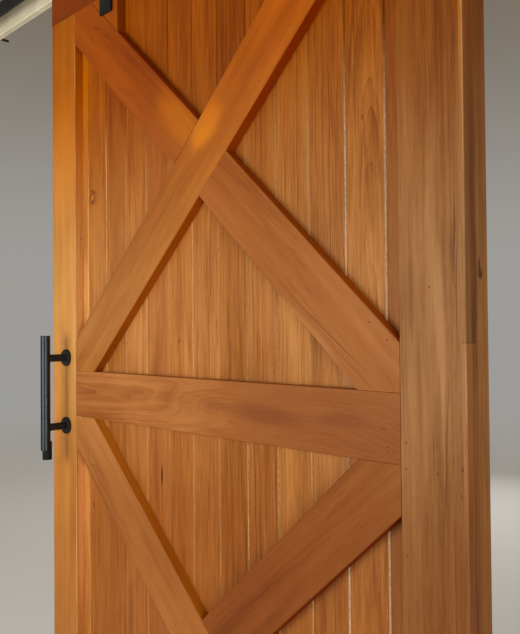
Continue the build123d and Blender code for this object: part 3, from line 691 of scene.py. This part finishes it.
# Marks on the middle rail, then the looks of the rails and the packing blocks
SWIRLS = (
    (0.86, 1.055, 0.14, 0.42, 0, (0.3, 0.088, 0.018), 0.72),
    (0.735, 1.052, 0.026, 0.12, 4, RED_BROWN, 0.6, 0.02),
    (0.9, 1.058, 0.02, 0.08, -5, RED_BROWN, 0.45, 0.018),
    (0.6, 1.06, 0.012, 0.07, 3, RED_BROWN, 0.35, 0.012),
    (0.64, 1.03, 0.0018, 0.012, 30, DARK_KNOT, 0.5),
    (0.985, 1.052, 0.002, 0.01, 5, SEASONED, 0.8),
    (0.992, 1.025, 0.0022, 0.004, 5, SEASONED, 0.8),
)
RAILS = {
    "top_rail_front": {"tone": (0.7, 0.52, 0.4), "pith": (0.03, 0.1)},
    "top_rail_back": {"tone": (0.98, 0.95, 0.9), "pith": (-0.05, -0.09)},
    "mid_rail_front": {
        "tone": (0.85, 0.78, 0.82), "pith": (-0.02, 0.045), "tilt": (0.012, 0.03),
        "figure": 0.44, "grain": 0.65, "marks": SWIRLS,
    },
    "mid_rail_back": {"pith": (0.04, -0.08)},
    "bottom_rail_front": {"tone": (0.98, 0.95, 0.92), "pith": (0.02, 0.08)},
    "bottom_rail_back": {"tone": (1, 0.97, 0.95), "pith": (-0.03, -0.07)},
    "packer_left": {"lean": 0, "tone": (1.05, 1.02, 1), "pith": (0.1, 0.04)},
    "packer_right": {"lean": 0, "tone": (1.05, 1.02, 1), "pith": (-0.1, 0.05)},
}


class BARNDOOR_OT_rails(bpy.types.Operator):
    """Varnish the rails, with the grain level, and the packing blocks."""

    bl_idname = "barndoor.rails"
    bl_label = "Rails and packers"

    def execute(self, context):
        varnish(RAILS, 31, lean=LEVEL, streaks=0.55, grain=0.40, figure=0.15)
        return {"FINISHED"}


# Marks on the upper brace that falls to the right, then the looks of the braces
BRACE_MARKS = (
    # A painted pool of warm light near the crossing of the braces
    (0.49, 1.64, 0.055, 0.13, 0, AMBER, 0.44),
    (0.1856, 1.9208, 0.004, 0.03, -18, RED_BROWN, 0.6),
    (0.2235, 1.8904, 0.005, 0.026, -10, RED_BROWN, 0.5),
    (0.168, 1.9, 0.004, 0.034, 8, RED_BROWN, 0.45),
    (0.872, 1.2038, 0.0026, 0.16, -4.4, (0.22, 0.085, 0.02), 0.75),
    (0.93, 1.142, 0.0016, 0.075, -4.4, (0.26, 0.1, 0.025), 0.45),
    (0.835, 1.208, 0.012, 0.11, -2.2, (0.6, 0.27, 0.085), 0.45),
)
BRACES = {
    "brace_upper_rising": {
        "lean": BRACE_LEAN, "tone": (1.05, 0.99, 0.8), "ends": (0.77, 1.34),
        "pith": (0.01, 0.07), "tilt": (0.02, 0.02), "side_shading": (0.88, 0.55, 0.08),
        # The amber marks are a painted pool of warm light near the crossing
        "marks": ((0.571, 1.609, 0.05, 0.075, 0, AMBER, 0.6), (0.56, 1.59, 0.022, 0.04, 12, AMBER, 0.35)),
    },
    "brace_upper_falling": {
        "lean": -BRACE_LEAN, "tone": (0.91, 0.78, 0.78), "ends": (0.91, 1.08),
        "pith": (-0.02, 0.08), "tilt": (-0.02, 0.01), "marks": BRACE_MARKS, "side_shading": (1, 0.6, 0.06),
    },
    "brace_lower_rising": {
        "lean": BRACE_LEAN, "tone": (0.69, 0.57, 0.5), "pith": (0.03, 0.07), "tilt": (0.015, -0.02),
        "side_shading": (0.88, 0.29, 0.03),
        "marks": (
            (0.9173, 0.9979, 0.007, 0.01, 0, PALE, 0.4), (0.91, 0.993, 0.0022, 0.008, 20, DARK_KNOT, 0.6),
        ),
    },
    "brace_lower_falling": {
        "lean": -BRACE_LEAN, "tone": (1.21, 1.28, 1.55), "ends": (1.03, 0.84), "pith": (-0.01, 0.09),
        "tilt": (0.01, 0.01), "side_shading": (1.22, 1.02, 0.28),
    },
}


class BARNDOOR_OT_braces(bpy.types.Operator):
    """Varnish the crossed braces, with the grain along each of them."""

    bl_idname = "barndoor.braces"
    bl_label = "Braces"

    def execute(self, context):
        varnish(BRACES, 41, streaks=0.60, grain=0.45, figure=0.18)
        return {"FINISHED"}


# Paint, metal and plastic


def brushed_paint(name, colour):
    """Satin paint with brush marks along X, a few thin places and patches of dust."""
    finish = Finish(name)
    strokes = finish.noise(finish.vector("MULTIPLY", finish.place, (0.02, 1, 1)), 900, 3, 0.6)
    cloudy = finish.noise(finish.place, 7, 3)
    dirt = finish.noise(finish.vector("MULTIPLY", finish.place, (0.3, 1, 1)), 26, 4, 0.65)
    dirt = finish.between(dirt, 0.52, 0.74)
    shade = finish.mix(finish.between(cloudy, 0.3, 0.7), toned(colour, 0.86), toned(colour, 1.06))
    shade = finish.mix(finish.times(dirt, 0.22), shade, (0.34, 0.26, 0.16))
    roughness = finish.times(strokes, 0.16, 0.34)
    return finish.show(Base_Color=shade, Roughness=roughness, Normal=finish.bump(strokes, 0.00012, 0.7))


def powder_coat(name, colour, roughness=0.46, wear_and_glint=None):
    """Black powder coat: a fine orange peel, a slight cloudiness and dust.

    worn is (height, width): a band at that height where use has polished the coat.
    """
    finish = Finish(name)
    peel = finish.noise(finish.place, 1400, 2, 0.55)
    cloudy = finish.noise(finish.place, 30, 3)
    dust = finish.between(finish.noise(finish.place, 420, 4, 0.7), 0.56, 0.78)
    shade = finish.mix(finish.between(cloudy, 0.35, 0.7, 0, 0.6), colour, toned(colour, 1.6, 0.005))
    shade = finish.mix(finish.times(dust, 0.03), shade, (0.1, 0.085, 0.07))
    rough = finish.times(cloudy, 0.16, roughness - 0.08)
    if wear_and_glint is not None:
        height, width = wear_and_glint
        off_band = finish.away(finish.part(finish.place, "Z"), height)
        rubbed_and_highlight = finish.between(off_band, width, width * 0.4)
        scratchy = finish.noise(finish.vector("MULTIPLY", finish.place, (0.05, 1, 1)), 800, 4, 0.7)
        rubbed_and_highlight = finish.times(rubbed_and_highlight, finish.between(scratchy, 0.38, 0.62))
        shade = finish.mix(finish.times(rubbed_and_highlight, 0.8), shade, (0.2, 0.19, 0.18))
        rough = finish.times(rubbed_and_highlight, -0.18, rough)
    relief = finish.bump(peel, 0.00006, 0.5)
    return finish.show(Base_Color=shade, Roughness=rough, Normal=relief, Specular_IOR_Level=0.18)


def handle_coat(name, colour):
    """Smooth satin black, a little duller and paler where fingers have marked it."""
    finish = Finish(name)
    marks = finish.drawn(finish.place, 0.4, 46, 3, 0.5)
    smears = finish.between(marks, 0.45, 0.72)
    shade = finish.mix(finish.times(smears, 0.5), colour, toned(colour, 1.35))
    roughness = finish.times(smears, 0.05, 0.32)
    return finish.show(Base_Color=shade, Roughness=roughness, Metallic=1)


TURNING_PITCH = 0.0006  # from one turned ring on a wheel to the next
RUBBED_RADIUS = 0.0372  # where the track's edges rub a wheel


def moulded(name, colour, roughness=0.5, ringed=None, gloss=0.5):
    """Moulded plastic or rubber with a fine grain; ringed is a middle (x, z) with turned rings round it."""
    finish = Finish(name)
    grain = finish.noise(finish.place, 900, 3, 0.6)
    cloudy = finish.noise(finish.place, 45, 2)
    shade = finish.mix(finish.between(cloudy, 0.3, 0.75, 0, 0.5), colour, toned(colour, 1.7, 0.006))
    relief = grain
    if ringed is not None:
        x, z = ringed
        far = finish.length(finish.vector("SUBTRACT", finish.place, (x, 0, z)), (1, 0, 1))
        turned = finish.math("SINE", finish.times(far, 2 * math.pi / TURNING_PITCH))
        relief = finish.times(turned, 0.35, grain)
        rubbed_and_highlight = finish.between(finish.away(far, RUBBED_RADIUS), 0.0014, 0.0004)
        shade = finish.mix(finish.times(rubbed_and_highlight, 0.5), shade, (0.16, 0.155, 0.15))
    rough = finish.times(cloudy, 0.14, roughness - 0.07)
    relief = finish.bump(relief, 0.00005, 0.6)
    return finish.show(Base_Color=shade, Roughness=rough, Normal=relief, Specular_IOR_Level=gloss)


def bright_steel(name, colour, middle):
    """Turned bearing steel: fine rings round the axle, and a thin film of oil."""
    finish = Finish(name)
    far = finish.length(finish.vector("SUBTRACT", finish.place, middle), (1, 0, 1))
    rings = finish.noise_along(far, 5200)
    oily = finish.noise(finish.place, 160, 3)
    shade = finish.mix(finish.between(rings, 0.3, 0.7), toned(colour, 0.8), colour)
    shade = finish.mix(finish.between(oily, 0.5, 0.8, 0, 0.35), shade, (0.16, 0.12, 0.07))
    roughness = finish.times(oily, 0.18, 0.2)
    relief = finish.bump(rings, 0.00003, 0.5)
    return finish.show(Base_Color=shade, Metallic=1, Roughness=roughness, Normal=relief)


class BARNDOOR_OT_header(bpy.types.Operator):
    """Paint the header board cream."""

    bl_idname = "barndoor.header"
    bl_label = "Header board"

    def execute(self, context):
        dress(brushed_paint("cream_header_paint", settings().metal.paint), "header_board")
        return {"FINISHED"}


class BARNDOOR_OT_ironwork(bpy.types.Operator):
    """Powder coat the track, straps, stops and fasteners."""

    bl_idname = "barndoor.ironwork"
    bl_label = "Track, straps and fasteners"

    def execute(self, context):
        black = settings().metal.black
        track_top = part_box("track")[1].z
        dress(powder_coat("coat_track", black, 0.42, wear_and_glint=(track_top, 0.004)), "track")
        dress(
            powder_coat("coat_black_metal", black), "hanger_strap_left", "hanger_strap_right",
            "track_spacers", "wall_bolts", "end_stop_left", "end_stop_right", "floor_guide",
            "handle_post_lower", "handle_post_upper", "handle_roses",
        )
        dress(
            powder_coat("coat_black_zinc", toned(black, 1.4), 0.36), "axle_bolts", "axle_nuts",
            "axle_spacers", "strap_bolts", "strap_nuts", "stop_screws", "jump_screws", "handle_bolts",
        )
        return {"FINISHED"}


class BARNDOOR_OT_wheels(bpy.types.Operator):
    """Finish the wheels and their bearings."""

    bl_idname = "barndoor.wheels"
    bl_label = "Wheels and bearings"

    def execute(self, context):
        for side in ("left", "right"):
            low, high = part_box(f"wheel_{side}")
            middle = (low + high) / 2
            wheel = moulded(f"moulded_wheel_{side}", (0.018, 0.018, 0.019), 0.44, ringed=(middle.x, middle.z))
            dress(wheel, f"wheel_{side}")
            steel = bright_steel(f"steel_bearing_{side}", settings().metal.steel, middle)
            dress(steel, f"wheel_bearing_{side}")
        return {"FINISHED"}


class BARNDOOR_OT_handle(bpy.types.Operator):
    """Finish the handle bar and the foot clipped behind it."""

    bl_idname = "barndoor.handle"
    bl_label = "Handle"

    def execute(self, context):
        dress(handle_coat("satin_handle_bar", settings().metal.bar), "handle_bar")
        dress(moulded("moulded_handle_foot", (0.006, 0.006, 0.006), 0.6, gloss=0.15), "handle_foot")
        return {"FINISHED"}


class BARNDOOR_OT_rubber(bpy.types.Operator):
    """Finish the bumpers and the blocks on top of the leaf."""

    bl_idname = "barndoor.rubber"
    bl_label = "Bumpers and jump blocks"

    def execute(self, context):
        dress(moulded("rubber_bumpers", (0.022, 0.021, 0.02), 0.72), "stop_bumpers")
        for side in ("left", "right"):
            dress(moulded(f"moulded_jump_block_{side}", (0.024, 0.024, 0.025)), f"jump_block_{side}")
        return {"FINISHED"}


# Added pieces


def grid_faces(rows, columns, offset=0):
    """Faces of a grid that is closed across its columns, numbered from offset."""
    row, column = np.meshgrid(np.arange(rows - 1), np.arange(columns), indexing="ij")
    here = offset + row * columns + column
    side = offset + row * columns + (column + 1) % columns
    return np.stack([here, side, side + columns, here + columns], axis=-1).reshape(-1, 4)


def capped_tubes(tubes):
    """Points and faces of equal tubes, each a row of rings, with a face across each end."""
    rings, steps = tubes[0].shape[:2]
    size = rings * steps
    faces = []
    for first in range(0, size * len(tubes), size):
        faces.extend(grid_faces(rings, steps, first).tolist())
        faces.append(list(range(first, first + steps))[::-1])
        faces.append(list(range(first + size - steps, first + size)))
    return np.concatenate([tube.reshape(-1, 3) for tube in tubes]), faces


def add_mesh(name, points, faces, material, smooth=True):
    """A mesh object of one material from whole arrays of points and faces."""
    mesh = bpy.data.meshes.new(name)
    mesh.from_pydata(points.tolist(), [], faces)
    mesh.polygons.foreach_set("use_smooth", np.full(len(mesh.polygons), smooth))
    mesh.update()
    mesh.materials.append(material)
    made = bpy.data.objects.new(name, mesh)
    bpy.context.scene.collection.objects.link(made)
    return made


# Filled nail holes, as (x, z) on the face of the frame and the braces
FILLERS = (
    (0.7986, 1.7386), (0.7205, 1.6610), (0.8033, 1.3654), (0.9595, 1.2179), (0.8379, 1.2262),
    (0.9928, 1.1898), (1.0247, 1.0352), (1.0242, 0.9962), (1.0241, 0.8663), (0.9923, 1.0180),
    (1.0672, 1.2678), (1.1107, 1.2657),
)


class BARNDOOR_OT_fillers(bpy.types.Operator):
    """Fill the nail holes in the frame and the braces with dark stopping."""

    bl_idname = "barndoor.fillers"
    bl_label = "Filled nail holes"

    def execute(self, context):
        look = settings().fixings
        stopping = moulded("dark_stopping", (0.15, 0.056, 0.017), 0.6, gloss=0.15)
        lenses = filler_lenses(look.filler_radius, look.filler_height, LEAF_FRONT)
        made = add_mesh("nail_fillers", *lenses, stopping)
        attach(made, "leaf")
        return {"FINISHED"}


def filler_lenses(radius, height, face_y, steps=16):
    """A shallow lens on each filled nail hole.

    A lens is a profile turned about the line along Y through the hole: the front is a
    parabola, height * (1 - t * t) at t radii from the middle, and the back is the same
    curve turned into the wood. Its points are (x + t r cos a, face - h, z + t r sin a).
    """
    t = np.array([0.02, 0.45, 0.8, 1.0, 0.8, 0.45, 0.02])
    lift = height * (1 - t * t) * np.array([1, 1, 1, 1, -1, -1, -1])
    angle = np.linspace(0, 2 * math.pi, steps, endpoint=False)
    ring_x = radius * np.outer(t, np.cos(angle))
    ring_z = radius * np.outer(t, np.sin(angle))
    ring_y = np.repeat((face_y - lift)[:, None], steps, axis=1)
    return capped_tubes([np.stack([ring_x + x, ring_y, ring_z + z], axis=-1) for x, z in FILLERS])


def bolt_threads(cores, radius, start, end, pitch, height, steps):
    """A screw thread round each wall bolt.

    The thread is a flat-topped profile carried along a helix: at turn u its middle lies at
    y = start + pitch * (u + 1/2), at the angle 2 pi u, and the height of its top fades in
    over the first turn and out over the last two.
    """
    turns = (end - start) / pitch - 1
    count = int(turns * steps)
    u = np.linspace(0, turns, count)
    fade = np.clip(u, 0, 1) * np.clip((turns - u) / 2, 0, 1)
    # (along the bolt, out from the core) in shares of the pitch and of the height
    profile = np.array([(-0.34, -0.3), (-0.08, 1.0), (0.08, 1.0), (0.34, -0.3)])
    lift = profile[None, :, 1]
    out = radius + height * np.where(lift > 0, lift * fade[:, None], lift)
    along = start + pitch * (0.5 + u)[:, None] + pitch * profile[None, :, 0]
    angle = 2 * math.pi * u[:, None]
    right, down = out * np.cos(angle), out * np.sin(angle)
    return capped_tubes([np.stack([x + right, along, z - down], axis=-1) for x, z in cores])


WALL_BOLTS = 5
THREAD_CORE = 0.0037  # radius of the bolt's thin end
THREAD_START = 0.004  # from the back of the board to the thread
THREAD_END = 0.001  # from the thread to the bolt's tip


class BARNDOOR_OT_threads(bpy.types.Operator):
    """Cut the thread on the ends of the wall bolts."""

    bl_idname = "barndoor.threads"
    bl_label = "Wall bolt threads"

    def execute(self, context):
        look = settings().fixings
        low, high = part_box("wall_bolts")
        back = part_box("header_board")[1].y
        middle_z = (low.z + high.z) / 2
        head = (high.z - low.z) / 2
        cores = [(x, middle_z) for x in np.linspace(low.x + head, high.x - head, WALL_BOLTS)]
        threads = bolt_threads(
            cores, THREAD_CORE, back + THREAD_START, high.y - THREAD_END,
            look.thread_pitch, look.thread_height, look.thread_steps,
        )
        coat = powder_coat("coat_threads", (0.05, 0.048, 0.045), 0.34)
        made = add_mesh("wall_bolt_threads", *threads, coat)
        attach(made, "frame")
        return {"FINISHED"}


# Stage


def soft_lamp(name, power, place, target, width, height, colour, spread, mirrored):
    """A soft rectangular lamp that faces a target, with its spread in degrees."""
    lamp = bpy.data.lights.new(name, "AREA")
    lamp.shape = "RECTANGLE"
    lamp.size, lamp.size_y = width, height
    lamp.energy = power
    lamp.color = colour
    lamp.spread = math.radians(spread)
    made = bpy.data.objects.new(name, lamp)
    made.visible_glossy = mirrored
    made.location = place
    made.rotation_euler = (Vector(target) - Vector(place)).to_track_quat("-Z", "Y").to_euler()
    bpy.context.scene.collection.objects.link(made)


def studio_floor(radius, rings=24, steps=72):
    """A flat disc under the door: points (r cos a, r sin a, level), with r growing as a square."""
    r = radius * np.linspace(0.001, 1, rings) ** 2
    a = np.linspace(0, 2 * math.pi, steps, endpoint=False)
    points = np.stack(
        [np.outer(r, np.cos(a)), np.outer(r, np.sin(a)), np.full((rings, steps), FLOOR_LEVEL)], axis=-1
    ).reshape(-1, 3)
    faces = grid_faces(rings, steps)[:, ::-1].tolist()
    faces.append(list(range(steps)))
    return points, faces


def studio_world(level, above):
    """An even backdrop that darkens towards the ceiling, by the height of each direction."""
    world = bpy.data.worlds.new("studio")
    world.use_nodes = True
    tree = world.node_tree
    place = tree.nodes.new("ShaderNodeTexCoord")
    parts = tree.nodes.new("ShaderNodeSeparateXYZ")
    ramp = tree.nodes.new("ShaderNodeValToRGB")
    ramp.color_ramp.interpolation = "EASE"
    low, high = ramp.color_ramp.elements
    low.position, low.color = 0.08, (*level, 1)
    high.position, high.color = 0.45, (*above, 1)
    tree.links.new(place.outputs["Object"], parts.inputs["Vector"])
    tree.links.new(parts.outputs["Z"], ramp.inputs["Fac"])
    tree.links.new(ramp.outputs["Color"], tree.nodes["Background"].inputs["Color"])
    return world


class BARNDOOR_OT_stage(bpy.types.Operator):
    """Set up the camera, the floor, the backdrop and the lamps."""

    bl_idname = "barndoor.stage"
    bl_label = "Stage"

    def execute(self, context):
        look = settings().stage
        scene = context.scene
        scene.view_settings.view_transform = "Standard"

        lens = bpy.data.cameras.new("camera")
        lens.sensor_width = SENSOR_WIDTH
        lens.lens = look.lens
        camera = bpy.data.objects.new("camera", lens)
        turn = Matrix((CAMERA_RIGHT, CAMERA_UP, -CAMERA_FORWARD)).transposed()
        camera.matrix_world = Matrix.Translation(CAMERA_PLACE) @ turn.to_4x4()
        scene.collection.objects.link(camera)
        scene.camera = camera

        paint = Finish("studio_floor_paint")
        cloudy = paint.noise(paint.place, 1.3, 2)
        shade = paint.mix(cloudy, toned(look.floor, 0.985), look.floor)
        far = paint.vector("LENGTH", paint.place, output="Value")
        rays = paint.tree.nodes.new("ShaderNodeLightPath").outputs
        seen = paint.math("MAXIMUM", rays["Is Camera Ray"], rays["Is Glossy Ray"])
        seen = paint.math("MAXIMUM", seen, rays["Is Transmission Ray"])
        paint.show(
            Base_Color=shade, Roughness=0.8, Specular_IOR_Level=0.2, Emission_Color=look.backdrop,
            Emission_Strength=paint.times(seen, 0.5),
        )
        paint.fade(paint.between(far, *FLOOR_FADE))
        floor = add_mesh("studio_floor", *studio_floor(look.floor_radius), paint.material, smooth=False)

        scene.world = studio_world(look.backdrop, look.ceiling)
        for name, lamp in LAMPS.items():
            soft_lamp(f"{name}_lamp", getattr(look, name), *lamp)
        return {"FINISHED"}


class BARNDOOR_PT_panel(bpy.types.Panel):
    """The steps that dress the barn door."""

    bl_idname = "BARNDOOR_PT_panel"
    bl_label = "Barn door"
    bl_space_type = "VIEW_3D"
    bl_region_type = "UI"
    bl_category = "Barn door"

    def draw(self, context):
        for step in STEPS:
            self.layout.operator(step.bl_idname)
        groups = context.scene.barn_door
        for title in ("wood", "metal", "fixings", "stage"):
            group = getattr(groups, title)
            box = self.layout.box()
            box.label(text=title.capitalize())
            for name in group.bl_rna.properties.keys():
                if name not in ("rna_type", "name"):
                    box.prop(group, name)


STEPS = (
    BARNDOOR_OT_stage, BARNDOOR_OT_boards, BARNDOOR_OT_stiles, BARNDOOR_OT_rails, BARNDOOR_OT_braces,
    BARNDOOR_OT_header, BARNDOOR_OT_ironwork, BARNDOOR_OT_wheels, BARNDOOR_OT_handle,
    BARNDOOR_OT_rubber, BARNDOOR_OT_fillers, BARNDOOR_OT_threads,
)
CLASSES = (
    BARNDOOR_PG_wood, BARNDOOR_PG_metal, BARNDOOR_PG_fixings, BARNDOOR_PG_stage, BARNDOOR_PG_settings,
    *STEPS, BARNDOOR_PT_panel,
)


def register():
    """Register the classes and the scene's settings."""
    for one in CLASSES:
        bpy.utils.register_class(one)
    bpy.types.Scene.barn_door = PointerProperty(
        type=BARNDOOR_PG_settings, name="Barn door", description="Settings of the barn door"
    )


def unregister():
    """Take the classes and the settings away again."""
    del bpy.types.Scene.barn_door
    for one in reversed(CLASSES):
        bpy.utils.unregister_class(one)


def main():
    """Dress the door step by step."""
    register()
    for step in STEPS:
        space, name = step.bl_idname.split(".")
        getattr(getattr(bpy.ops, space), name)()


if __name__ == "__main__":
    main()
